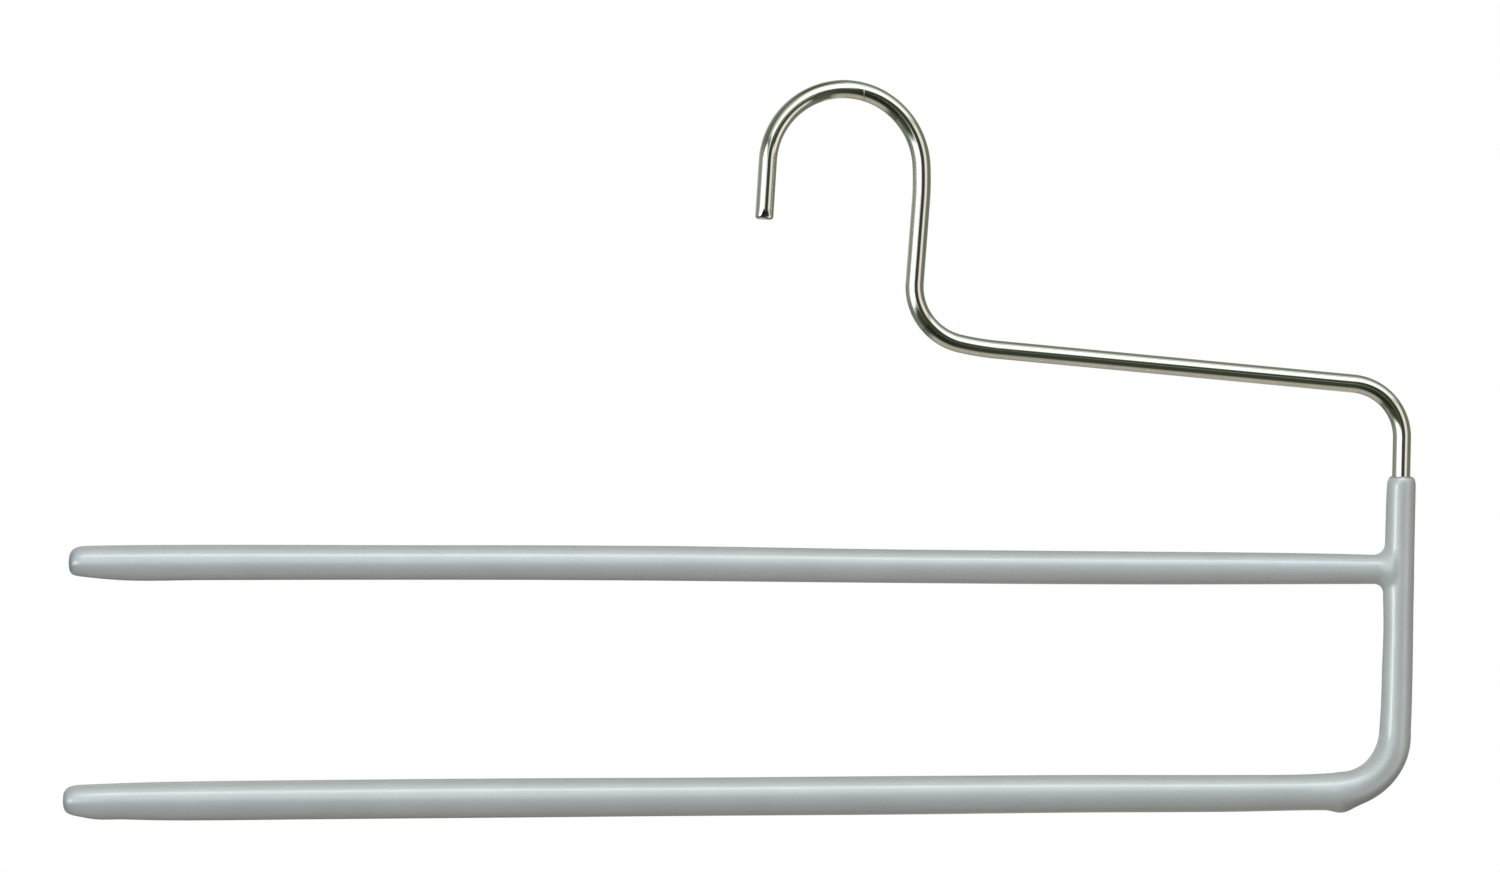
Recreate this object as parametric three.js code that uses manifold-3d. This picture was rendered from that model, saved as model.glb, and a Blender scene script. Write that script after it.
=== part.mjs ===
// Open-ended trouser hanger with two bars.
// One chromed wire makes the hook, the arm, the upright and the core of the lower bar. A rod welded to
// the upright is the core of the upper bar. A soft dipped skin covers all of it below the collar.
// Millimetres, +Z up. The hanger lies in the XZ plane and its front faces -Y. The origin is the rail
// seat, the inner top of the hook, which rests on a rail.
import * as THREE from 'three';
import Module from 'manifold-3d';

const wasm = await Module();
wasm.setup();

// Steel sections
const wireDiameter = 4.7;
const rodDiameter = 4.7;
const wireEndRounding = 0.9;
const cutEndRounding = 0.5;

// Hook, from its tip to the neck. Every lean and turn is in degrees.
const tipLegLength = 15.4;
const tipLean = 3.65;
const crookTipRadius = 19.6;
const crookNeckRadius = 21;
const crookChangeTurn = 34.8;
const neckEaseRadius = 76;
const neckEaseTurn = 7;
const neckLength = 20.95;
const neckLean = 4.4;

// Arm, from the shoulder bend to the outer bend
const shoulderRadius = 15.1;
const shoulderEaseRadius = 73;
const shoulderEaseTurn = 7.8;
const armLength = 92.5;
const armFall = 5.43;
const outerBendRadius = 13.9;

// Upright and lower bar
const uprightLength = 75.6;
const uprightLean = 1.22;
const lowerBendRadius = 16.4;
const lowerBarLength = 326.6;
const lowerBarDroop = 0.38;

// Upper bar, which rises a little from its weld and then runs level
const upperBarDrop = 34.1;
const upperBarRise = 0.5;
const upperBarRisingLength = 190;
const upperBarEaseRadius = 4000;
const upperBarLevelLength = 117;

// Weld nugget between the upright and the rod
const weldStart = 1.2;
const weldLength = 3.2;
const weldProud = 0.6;

// Dipped skin
const collarDrop = 9.9;
const collarRounding = 1.1;
const collarRoundingLength = 2.2;
const skinThickness = 2.5;
const leastWall = 0.35;
const tipSkin = 2;
const noseRounding = 2.4;
const jointFilletTop = 2.9;
const jointFilletUnder = 2.3;
const dripHeight = 0.75;
const dripLength = 2.2;
const dripSetback = 1.9;
const dripSharpness = 6;

// Running gap between pieces that touch on the real hanger
const fitGap = 0.3;
const cutOverrun = 2;

// Fineness of the faceted solids
const wireSides = 20;
const coreSides = 16;
const skinSides = 24;
const bendStepTurn = 7.5;
const roundingSteps = 4;

// How the skin's thickness runs. A row holds the share of the stretch's length, then the thickness as
// shares of skinThickness: on the outer or under side, and on the inner or upper side.
const uprightSkinShares = [
  [0, 0.58, 0.44],
  [0.07, 0.59, 0.46],
  [0.25, 0.59, 0.56],
  [0.45, 0.62, 0.68],
  [0.52, 0.62, 0.62],
  [0.6, 0.64, 0.56],
  [0.75, 0.67, 0.61],
  [0.92, 0.66, 0.66],
  [1, 0.62, 0.76],
];
const lowerBendSkinShares = [
  [0, 0.62, 0.76],
  [0.25, 0.82, 0.78],
  [0.5, 0.87, 0.79],
  [0.75, 0.86, 0.96],
  [0.93, 0.92, 1.12],
  [1, 0.9, 1.06],
];
const lowerBarSkinShares = [
  [0, 0.9, 1.06],
  [0.02, 0.9, 0.94],
  [0.08, 1, 0.93],
  [0.2, 0.98, 1.03],
  [0.35, 1.06, 1.04],
  [0.5, 1.06, 1.02],
  [0.65, 1.11, 1.08],
  [0.8, 1.16, 1.04],
  [0.92, 1.18, 0.94],
  [0.974, 1.05, 0.76],
  [0.99, 0.64, 0.68],
  [1, 0.36, 0.6],
];
const upperBarSkinShares = [
  [0, 0.5, 0.56],
  [0.06, 0.6, 0.69],
  [0.2, 0.8, 0.73],
  [0.38, 0.86, 0.73],
  [0.53, 0.84, 0.87],
  [0.75, 0.8, 0.9],
  [0.9, 0.84, 0.94],
  [0.955, 0.88, 0.9],
  [0.978, 0.66, 0.86],
  [0.992, 0.45, 0.8],
  [1, 0.36, 0.72],
];
const jointSkinShare = 0.52;
const noseFlatShare = 0.4;
const filletEdgeShare = 0.2;
const weldRimShares = [0.3, 0.8];
const dripStopShares = [-2, -1, -0.5, 0, 0.5, 1, 2];

// Finishes
const chromedWire = { color: 0xd8d6cc, metalness: 1, roughness: 0.12 };
const brightRod = { color: 0xa9abaa, metalness: 1, roughness: 0.35 };
const weldMetal = { color: 0x8f8d88, metalness: 1, roughness: 0.5 };
const silverSkin = { color: 0xaeb6b7, metalness: 0, roughness: 0.42 };

const wireRadius = wireDiameter / 2;
const rodRadius = rodDiameter / 2;
const radians = THREE.MathUtils.degToRad;

// A flat route in the XZ plane: straight moves { length } and bends { radius, turn }, where a turn is
// positive to the left. Beyond its ends the route carries on straight.
class Route {
  constructor(place, heading, moves) {
    this.moves = [];
    this.length = 0;
    let start = place;
    let direction = heading;
    for (const move of moves) {
      const size = move.radius === undefined ? move.length : move.radius * Math.abs(radians(move.turn));
      this.moves.push({ ...move, start, direction, from: this.length, size });
      const end = this.at(this.length + size);
      start = end.centre;
      direction = end.heading;
      this.length += size;
    }
  }

  // The centre and the heading in degrees at a distance along the route.
  at(along) {
    const found = this.moves.findLast((move) => move.from <= along) ?? this.moves[0];
    const gone = along - found.from;
    const heading = radians(found.direction);
    const forward = new THREE.Vector2(Math.cos(heading), Math.sin(heading));
    if (found.radius === undefined) {
      return { centre: found.start.clone().addScaledVector(forward, gone), heading: found.direction };
    }
    const side = Math.sign(found.turn);
    const toHub = new THREE.Vector2(-forward.y, forward.x).multiplyScalar(side * found.radius);
    const hub = found.start.clone().add(toHub);
    const turned = (side * gone) / found.radius;
    return {
      centre: found.start.clone().rotateAround(hub, turned),
      heading: found.direction + THREE.MathUtils.radToDeg(turned),
    };
  }

  // Distances that a tube along the route needs: both ends, every joint between moves, and steps on bends.
  stops(from, to) {
    const found = [from, to];
    for (const move of this.moves) {
      const steps = move.radius === undefined ? 1 : Math.ceil(Math.abs(move.turn) / bendStepTurn);
      for (let step = 0; step <= steps; step += 1) found.push(move.from + (move.size * step) / steps);
    }
    return found.filter((stop) => stop >= from && stop <= to);
  }
}

// Sorts distances and drops those that nearly repeat.
function tidyStops(stops) {
  const sorted = [...stops].sort((a, b) => a - b);
  const least = (sorted.at(-1) - sorted[0]) / sorted.length / roundingSteps ** 4;
  return sorted.filter((stop, index) => index === 0 || stop - sorted[index - 1] > least);
}

// A closed tube through rings. Each ring has its centre, heading, and its reach to the left, to the
// right and to both sides; a drip reaches further on the left side alone.
function loft(rings, sides) {
  const points = [];
  const faces = [];
  const place = (ring, leftward, sideways) => {
    const heading = radians(ring.heading);
    points.push(
      ring.centre.x - Math.sin(heading) * leftward,
      sideways,
      ring.centre.y + Math.cos(heading) * leftward,
    );
  };
  rings.forEach((ring, row) => {
    for (let step = 0; step < sides; step += 1) {
      const angle = (2 * Math.PI * step) / sides;
      const lean = Math.cos(angle);
      const reach = lean > 0 ? ring.left + (ring.drip ?? 0) * lean ** dripSharpness : ring.right;
      place(ring, lean * reach, Math.sin(angle) * ring.side);
      if (row === 0) continue;
      const next = (step + 1) % sides;
      const before = (row - 1) * sides;
      faces.push(before + step, before + sides + step, before + next);
      faces.push(before + next, before + sides + step, before + sides + next);
    }
  });
  const firstHub = points.length / 3;
  place(rings[0], 0, 0);
  place(rings.at(-1), 0, 0);
  const lastRow = (rings.length - 1) * sides;
  for (let step = 0; step < sides; step += 1) {
    const next = (step + 1) % sides;
    faces.push(firstHub, step, next);
    faces.push(firstHub + 1, lastRow + next, lastRow + step);
  }
  const geometry = new THREE.BufferGeometry();
  geometry.setAttribute('position', new THREE.Float32BufferAttribute(points, 3));
  geometry.setIndex(faces);
  return geometry;
}

// A tube along a stretch of a route. The section at each stop comes from reachAt.
function tube(route, from, to, reachAt, sides, moreStops = []) {
  const stops = tidyStops([...route.stops(from, to), ...moreStops]);
  return loft(stops.map((along) => ({ ...route.at(along), ...reachAt(along) })), sides);
}

// A plain round section.
const round = (radius) => ({ left: radius, right: radius, side: radius });

// Distances from an end that show its rounded edge.
function roundingStops(rounding) {
  const stops = [];
  for (let step = 0; step <= roundingSteps; step += 1) {
    stops.push(rounding * (1 - Math.cos((Math.PI / 2) * (step / roundingSteps))));
  }
  return stops;
}

// How far a rounded edge has come out, from 0 at the end to 1 where the rounding stops.
function roundingShare(fromEnd, rounding) {
  const left = THREE.MathUtils.clamp(1 - fromEnd / rounding, 0, 1);
  return Math.sqrt(1 - left * left);
}

// A round bar along a route with softened ends.
function roundBar(route, from, to, radius, roundings, sides) {
  const [atStart, atEnd] = roundings;
  const reachAt = (along) => {
    const startCut = atStart * (1 - roundingShare(along - from, atStart));
    const endCut = atEnd * (1 - roundingShare(to - along, atEnd));
    return round(radius - Math.max(startCut, endCut));
  };
  const moreStops = [
    ...roundingStops(atStart).map((stop) => from + stop),
    ...roundingStops(atEnd).map((stop) => to - stop),
  ];
  return tube(route, from, to, reachAt, sides, moreStops);
}

// Reads a share table smoothly: the thicknesses on the left and on the right at a share of the stretch.
function readShares(shares) {
  const places = shares.map((row) => row[0]);
  const values = shares.flatMap((row) => row.slice(1));
  const run = new THREE.CubicInterpolant(places, values, 2);
  return (share) => [...run.evaluate(THREE.MathUtils.clamp(share, 0, 1))];
}

function asSolid(geometry) {
  return new wasm.Manifold(new wasm.Mesh({
    numProp: 3,
    vertProperties: geometry.getAttribute('position').array,
    triVerts: new Uint32Array(geometry.index.array),
  }));
}

function asGeometry(solid) {
  const { vertProperties, triVerts } = solid.getMesh();
  const geometry = new THREE.BufferGeometry();
  geometry.setAttribute('position', new THREE.BufferAttribute(vertProperties, 3));
  geometry.setIndex(new THREE.BufferAttribute(triVerts, 1));
  return geometry;
}

function makePiece(name, geometry, finish) {
  geometry.computeVertexNormals();
  const piece = new THREE.Mesh(geometry, new THREE.MeshStandardMaterial(finish));
  piece.name = name;
  return piece;
}

// The wire's route runs from the hook's tip to the end of the lower bar. The crook's hub lies straight
// below the rail seat, and the tip leg is laid back from where the crook begins.
function wireRoute() {
  const tipHeading = 90 - tipLean;
  const hub = new THREE.Vector2(0, wireRadius - crookTipRadius);
  const upLeg = new THREE.Vector2(Math.cos(radians(tipHeading)), Math.sin(radians(tipHeading)));
  const crookStart = hub.clone().add(new THREE.Vector2(-upLeg.y, upLeg.x).multiplyScalar(crookTipRadius));
  const tip = crookStart.clone().addScaledVector(upLeg, -tipLegLength);
  return new Route(tip, tipHeading, [
    { length: tipLegLength },
    { radius: crookTipRadius, turn: -(tipHeading + crookChangeTurn) },
    { radius: crookNeckRadius, turn: -(90 + neckLean - crookChangeTurn - neckEaseTurn) },
    { radius: neckEaseRadius, turn: -neckEaseTurn },
    { length: neckLength },
    { radius: shoulderRadius, turn: 90 + neckLean - armFall - shoulderEaseTurn },
    { radius: shoulderEaseRadius, turn: shoulderEaseTurn },
    { length: armLength },
    { radius: outerBendRadius, turn: -(90 + uprightLean - armFall) },
    { length: uprightLength },
    { radius: lowerBendRadius, turn: -(90 - uprightLean - lowerBarDroop) },
    { length: lowerBarLength },
  ]);
}

const wire = wireRoute();
const [upright, lowerBend, lowerBar] = wire.moves.slice(-3);
const jointAlong = upright.from + upperBarDrop;

// The upper bar's route starts on the upright's axis.
const upperBar = new Route(wire.at(jointAlong).centre, 180 - upperBarRise, [
  { length: upperBarRisingLength },
  { radius: upperBarEaseRadius, turn: upperBarRise },
  { length: upperBarLevelLength },
]);
const weldEnd = weldStart + weldLength;

// The fused nugget and its rim of flash; allowance grows it for the hollow around it.
function weldNugget(allowance) {
  const from = weldStart - allowance;
  const to = weldEnd + allowance;
  const rims = weldRimShares.map((share) => weldStart + weldLength * share);
  const reachAt = (along) => round(rodRadius + allowance + (rims.includes(along) ? weldProud : 0));
  return asSolid(tube(upperBar, from, to, reachAt, coreSides, rims));
}

// A stretch of the wire, grown by the fit gap.
function grownWire(from, to) {
  return asSolid(tube(wire, from, to, () => round(wireRadius + fitGap), wireSides));
}

// The steel inside the skin, grown by the fit gap.
function coreHollow() {
  const grownRod = tube(upperBar, 0, upperBar.length + fitGap, () => round(rodRadius + fitGap), coreSides);
  return grownWire(upright.from + collarDrop - cutOverrun, wire.length + fitGap)
    .add(asSolid(grownRod))
    .add(weldNugget(fitGap));
}

// How far the skin reaches from the middle of its core. It never gets thinner than its least wall.
function skinReach(coreRadius, thickness) {
  return coreRadius + Math.max(thickness, fitGap + leastWall);
}

// The blunt nose of a bar, from its flat middle at the tip to full reach.
function noseShare(fromTip) {
  return noseFlatShare + (1 - noseFlatShare) * roundingShare(fromTip, noseRounding);
}

// The skin over the upright, the lower bend and the lower bar, up to the blunt nose.
function mainSkin() {
  const from = upright.from + collarDrop;
  const to = wire.length + tipSkin;
  const stretches = [
    { from, to: lowerBend.from, shares: uprightSkinShares },
    { from: lowerBend.from, to: lowerBar.from, shares: lowerBendSkinShares },
    { from: lowerBar.from, to, shares: lowerBarSkinShares },
  ].map((stretch) => ({ ...stretch, read: readShares(stretch.shares) }));
  const dripAlong = lowerBar.from - dripSetback;
  const reachAt = (along) => {
    const stretch = stretches.find((one) => along <= one.to) ?? stretches.at(-1);
    const collar = collarRounding * (1 - roundingShare(along - from, collarRoundingLength));
    const [left, right] = stretch.read((along - stretch.from) / (stretch.to - stretch.from)).map(
      (share) => skinReach(wireRadius, skinThickness * share - collar) * noseShare(to - along),
    );
    const drip = dripHeight * Math.exp(-(((along - dripAlong) / dripLength) ** 2));
    return { left, right, side: (left + right) / 2, drip };
  };
  const moreStops = [
    ...stretches.flatMap((one) => one.shares.map(([share]) => one.from + (one.to - one.from) * share)),
    ...roundingStops(collarRoundingLength).map((stop) => from + stop),
    ...roundingStops(noseRounding).map((stop) => to - stop),
    ...dripStopShares.map((share) => dripAlong + dripLength * share),
  ];
  return asSolid(tube(wire, from, to, reachAt, skinSides, moreStops));
}

// The skin over the upper bar. It flares up and down into soft fillets where it meets the upright.
function upperSkin() {
  const to = upperBar.length + tipSkin;
  const read = readShares(upperBarSkinShares);
  const uprightFace = wireRadius + skinThickness * jointSkinShare;
  const flare = (along, fillet) => (
    fillet * (1 - Math.max(roundingShare(along - uprightFace, fillet), filletEdgeShare))
  );
  const reachAt = (along) => {
    const rim = along > weldEnd + fitGap ? 0 : weldProud;
    const [left, right] = read(along / to).map(
      (share) => skinReach(rodRadius + rim, skinThickness * share - rim) * noseShare(to - along),
    );
    return {
      left: left + flare(along, jointFilletUnder),
      right: right + flare(along, jointFilletTop),
      side: (left + right) / 2,
    };
  };
  const moreStops = [
    ...upperBarSkinShares.map(([share]) => to * share),
    ...roundingStops(jointFilletTop).map((stop) => uprightFace + stop),
    ...roundingStops(noseRounding).map((stop) => to - stop),
  ];
  return asSolid(tube(upperBar, 0, to, reachAt, skinSides, moreStops));
}

const hanger = new THREE.Group();

const wireRoundings = [wireEndRounding, cutEndRounding];
hanger.add(makePiece(
  'hook_wire',
  roundBar(wire, 0, wire.length, wireRadius, wireRoundings, wireSides),
  chromedWire,
));

const rodRoundings = [cutEndRounding, cutEndRounding];
hanger.add(makePiece(
  'upper_bar_rod',
  roundBar(upperBar, weldEnd + fitGap, upperBar.length, rodRadius, rodRoundings, coreSides),
  brightRod,
));

hanger.add(makePiece(
  'upper_bar_weld',
  asGeometry(weldNugget(0).subtract(grownWire(upright.from, lowerBend.from))),
  weldMetal,
));

hanger.add(makePiece(
  'grip_coating',
  asGeometry(mainSkin().add(upperSkin()).subtract(coreHollow())),
  silverSkin,
));

export default hanger;
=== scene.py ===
"""Dresses the open-ended trouser hanger for the camera.

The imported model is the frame, in metres: X runs towards the upright, Z is up and the front faces -Y.
Sizes in the classes are in millimetres, as in the part's own source, and MM turns them into metres.
"""

import logging
import math
from collections.abc import Callable, Iterator, Sequence
from contextlib import contextmanager
from dataclasses import dataclass, field
from enum import Enum
from itertools import chain
from typing import Any

import bmesh
import bpy
import numpy as np
from mathutils import Matrix, Vector


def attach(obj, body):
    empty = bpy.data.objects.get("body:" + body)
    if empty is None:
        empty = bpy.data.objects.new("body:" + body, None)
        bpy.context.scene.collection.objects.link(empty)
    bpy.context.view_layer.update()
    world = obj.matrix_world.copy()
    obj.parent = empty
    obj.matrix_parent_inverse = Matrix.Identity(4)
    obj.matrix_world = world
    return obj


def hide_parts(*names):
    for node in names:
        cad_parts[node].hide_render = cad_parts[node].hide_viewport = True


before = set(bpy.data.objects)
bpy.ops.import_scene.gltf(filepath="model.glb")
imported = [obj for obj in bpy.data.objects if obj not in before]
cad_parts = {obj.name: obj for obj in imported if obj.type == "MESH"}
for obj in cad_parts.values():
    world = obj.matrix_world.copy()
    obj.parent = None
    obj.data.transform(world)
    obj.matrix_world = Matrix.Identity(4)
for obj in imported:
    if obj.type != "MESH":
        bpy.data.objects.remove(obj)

MM = 0.001
BODY = "root"
NEARLY_NONE = 1e-9
NOISE_ROUGHNESS = 0.55
DOUBLES_APART = 1e-4
DRIP_SHARPNESS = 6

# Where these stretches start in the froms of the wire's route, counted back from its end.
UPRIGHT_FROM, LOWER_BEND_FROM, LOWER_BAR_FROM = -4, -3, -2

Colour = tuple[float, float, float]
Point = tuple[float, float, float]
Reach = tuple[np.ndarray, np.ndarray]
RadiusAt = Callable[[np.ndarray], np.ndarray]
ShareTable = tuple[tuple[float, float, float], ...]

log = logging.getLogger("trouser_hanger")


class SeenBy(Enum):
    """The rays that a piece of the studio shows itself to."""

    GLOSS = ("visible_glossy",)
    CAMERA = ("visible_camera", "visible_shadow", "visible_transmission")


class Shade:
    """A value in a node tree. Arithmetic on it adds Math nodes."""

    def __init__(self, nodes: "Nodes", socket: bpy.types.NodeSocket) -> None:
        """Wraps an output socket of a tree that nodes builds."""
        self.nodes = nodes
        self.socket = socket

    def maths(self, operation: str, *values: Any) -> "Shade":
        """Adds one Math node.

        Args:
            operation: the Math node's operation.
            values: its numbers or links, in order.

        Returns:
            The node's result.
        """
        return self.nodes.add("ShaderNodeMath", {"operation": operation}, dict(enumerate(values)))

    def output(self, name: str) -> "Shade":
        """Another output of the node that made this value."""
        return Shade(self.nodes, self.socket.node.outputs[name])

    def __add__(self, other: Any) -> "Shade":
        """self + other."""
        return self.maths("ADD", self, other)

    def __radd__(self, other: Any) -> "Shade":
        """other + self."""
        return self.maths("ADD", other, self)

    def __sub__(self, other: Any) -> "Shade":
        """self - other."""
        return self.maths("SUBTRACT", self, other)

    def __rsub__(self, other: Any) -> "Shade":
        """other - self."""
        return self.maths("SUBTRACT", other, self)

    def __mul__(self, other: Any) -> "Shade":
        """self * other."""
        return self.maths("MULTIPLY", self, other)

    def __rmul__(self, other: Any) -> "Shade":
        """other * self."""
        return self.maths("MULTIPLY", other, self)

    def __truediv__(self, other: Any) -> "Shade":
        """self / other."""
        return self.maths("DIVIDE", self, other)

    def __rtruediv__(self, other: Any) -> "Shade":
        """other / self."""
        return self.maths("DIVIDE", other, self)

    def __abs__(self) -> "Shade":
        """The distance from zero."""
        return self.maths("ABSOLUTE", self)

    def rise(self, edge: float, width: float) -> "Shade":
        """A smooth step from 0 to 1.

        Args:
            edge: where the step is half up.
            width: the step's whole width.

        Returns:
            The step, for this value.
        """
        settings = {"interpolation_type": "SMOOTHSTEP"}
        sockets = {"Value": self, "From Min": edge - width / 2, "From Max": edge + width / 2}
        return self.nodes.add("ShaderNodeMapRange", settings, sockets)

    def spread(self, low: float, high: float) -> "Shade":
        """Runs from low to high while this value runs from 0 to 1."""
        return self * (high - low) + low

    def blend(self, other: "Shade", share: float) -> "Shade":
        """This value, with a share of another one."""
        return self * (1 - share) + other * share


class Nodes:
    """Builds one node tree."""

    def __init__(self, tree: bpy.types.NodeTree) -> None:
        """Starts with an empty tree."""
        self.tree = tree
        tree.nodes.clear()

    def add(
        self, kind: str, settings: dict[str, Any], sockets: dict[Any, Any], output: int | str = 0
    ) -> Shade | None:
        """Adds a node.

        Args:
            kind: the node's type.
            settings: its settings, which are set first. A ramp's are its stops.
            sockets: numbers or links for its inputs, by name, identifier or place.
            output: the output to give back, by place or name.

        Returns:
            The node's output, or None where it has none.
        """
        node = self.tree.nodes.new(kind)
        for name, value in settings.items():
            if name == "stops":
                self.fill_ramp(node.color_ramp, value)
            else:
                setattr(node, name, value)
        for key, value in sockets.items():
            socket = self.find(node.inputs, key)
            if isinstance(value, Shade):
                self.tree.links.new(value.socket, socket)
            else:
                socket.default_value = value
        return Shade(self, self.find(node.outputs, output)) if len(node.outputs) else None

    @staticmethod
    def find(sockets: bpy.types.bpy_prop_collection, key: int | str) -> bpy.types.NodeSocket:
        """Finds a socket.

        Args:
            sockets: a node's inputs or outputs.
            key: the socket's place, or its identifier or name.

        Returns:
            The socket with this place or identifier, or else with this name.
        """
        if isinstance(key, int):
            return sockets[key]
        return next((one for one in sockets if one.identifier == key), None) or sockets[key]

    @staticmethod
    def fill_ramp(ramp: bpy.types.ColorRamp, stops: Sequence[tuple[float, Colour]]) -> None:
        """Sets a colour ramp.

        Args:
            ramp: the ramp, which has two stops of its own.
            stops: the place and colour of each stop.
        """
        for place, _ in stops[2:]:
            ramp.elements.new(place)
        for element, (place, colour) in zip(ramp.elements, stops):
            element.position = place
            element.color = (*colour, 1)

    def mix(self, share: Any, first: Any, second: Any) -> Shade:
        """Mixes two colours.

        Args:
            share: how much of the second colour is used.
            first: the first colour or link.
            second: the second colour or link.

        Returns:
            The mixed colour.
        """
        ready = [one if isinstance(one, Shade) else (*one, 1) for one in (first, second)]
        sockets = {"Factor_Float": share, "A_Color": ready[0], "B_Color": ready[1]}
        return self.add("ShaderNodeMix", {"data_type": "RGBA"}, sockets, "Result_Color")

    def noise(self, place: Shade, scale: float, detail: float) -> Shade:
        """Smooth noise from 0 to 1.

        Args:
            place: the coordinates.
            scale: how many lumps there are in one unit.
            detail: how many finer layers it has.

        Returns:
            The noise's value.
        """
        sockets = {"Vector": place, "Scale": scale, "Detail": detail, "Roughness": NOISE_ROUGHNESS}
        return self.add("ShaderNodeTexNoise", {}, sockets, "Fac")

    def split(self, vector: Shade) -> tuple[Shade, Shade, Shade]:
        """The X, Y and Z of a vector."""
        x = self.add("ShaderNodeSeparateXYZ", {}, {0: vector}, "X")
        return x, x.output("Y"), x.output("Z")

    def stretch(self, place: Shade, shares: Point) -> Shade:
        """Coordinates multiplied along each axis."""
        return self.add("ShaderNodeVectorMath", {"operation": "MULTIPLY"}, {0: place, 1: shares})

    def bump(self, height: Shade, depth: float, strength: float) -> Shade:
        """A bumped normal.

        Args:
            height: the height, from 0 to 1.
            depth: how far 1 stands above 0, in millimetres.
            strength: the strength of the bump.

        Returns:
            The normal.
        """
        sockets = {"Height": height, "Distance": depth * MM, "Strength": strength}
        return self.add("ShaderNodeBump", {}, sockets, "Normal")


class Painted:
    """A new material with an empty node tree and one principled surface."""

    def __init__(self, name: str) -> None:
        """Makes the material."""
        self.material = bpy.data.materials.new(name)
        self.material.use_nodes = True
        self.nodes = Nodes(self.material.node_tree)

    def place(self) -> Shade:
        """Object coordinates, in metres."""
        return self.nodes.add("ShaderNodeTexCoord", {}, {}, "Object")

    def attribute(self, name: str, output: str) -> Shade:
        """A value that the mesh itself carries."""
        return self.nodes.add("ShaderNodeAttribute", {"attribute_name": name}, {}, output)

    def finish(self, sockets: dict[str, Any]) -> bpy.types.Material:
        """Adds the surface.

        Args:
            sockets: the surface's numbers, colours and links.

        Returns:
            The material.
        """
        surface = self.nodes.add("ShaderNodeBsdfPrincipled", {}, sockets)
        self.nodes.add("ShaderNodeOutputMaterial", {}, {"Surface": surface})
        return self.material


@dataclass(frozen=True)
class ChromePlate:
    """Bright chrome on drawn wire, with fine lines and haze, a pale hairline and a painted dark spot of
    shade at the tip.
    """

    name: str = "bright_chrome_plate"
    colour: Colour = (0.87, 0.87, 0.85)
    smoothest: float = 0.035
    roughest: float = 0.09
    line_stretch: Point = (60, 2600, 2600)
    line_depth: float = 0.002
    line_strength: float = 0.35
    haze_colour: Colour = (0.78, 0.79, 0.76)
    haze_scale: float = 260
    haze_edge: float = 0.56
    haze_width: float = 0.3
    haze_share: float = 0.5
    haze_in_roughness: float = 0.5
    seam_colour: Colour = (0.45, 0.72, 0.7)
    seam_place: float = 5.3
    seam_width: float = 0.16
    seam_floor: float = -7.5
    seam_fade: float = 1
    seam_share: float = 0.7
    seam_roughness: float = 0.4
    # The dark spot at the hook's tip is painted shade.
    tip_shade_colour: Colour = (0.05, 0.07, 0.055)
    tip_shade_place: Point = (-20.3, -2, -29.5)
    tip_shade_size: float = 1.5

    def material(self) -> bpy.types.Material:
        """Builds the finish. Lines and haze follow the wire's own straightened coordinates.

        Returns:
            The material.
        """
        painted = Painted(self.name)
        nodes = painted.nodes
        across, up, _ = nodes.split(painted.attribute("section", "Vector"))
        straight = {"X": painted.attribute("run", "Fac"), "Y": across, "Z": up}
        laid = nodes.add("ShaderNodeCombineXYZ", {}, straight)
        lines = nodes.noise(nodes.stretch(laid, self.line_stretch), scale=1, detail=2)
        dulled = nodes.noise(laid, self.haze_scale, detail=3).rise(self.haze_edge, self.haze_width)
        place = painted.place()
        x, _, z = nodes.split(place)
        beside = abs(x - self.seam_place * MM).rise(self.seam_width * MM, self.seam_width * MM)
        seam = (1 - beside) * z.rise(self.seam_floor * MM, self.seam_fade * MM)
        hazed = nodes.mix(dulled * self.haze_share, self.colour, self.haze_colour)
        plate = nodes.mix(seam * self.seam_share, hazed, self.seam_colour)
        # Painted shade: a dark spot on the front of the hook's tip.
        centre = tuple(one * MM for one in self.tip_shade_place)
        gap = nodes.add("ShaderNodeVectorMath", {"operation": "DISTANCE"}, {0: place, 1: centre}, "Value")
        tip_shade = 1 - gap.rise(self.tip_shade_size * MM / 2, self.tip_shade_size * MM)
        polish = lines.blend(dulled, self.haze_in_roughness).spread(self.smoothest, self.roughest)
        return painted.finish({
            "Base Color": nodes.mix(tip_shade, plate, self.tip_shade_colour),
            "Metallic": 1.0,
            "Roughness": polish + seam * self.seam_roughness,
            "Normal": nodes.bump(lines, self.line_depth, self.line_strength),
        })


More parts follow.
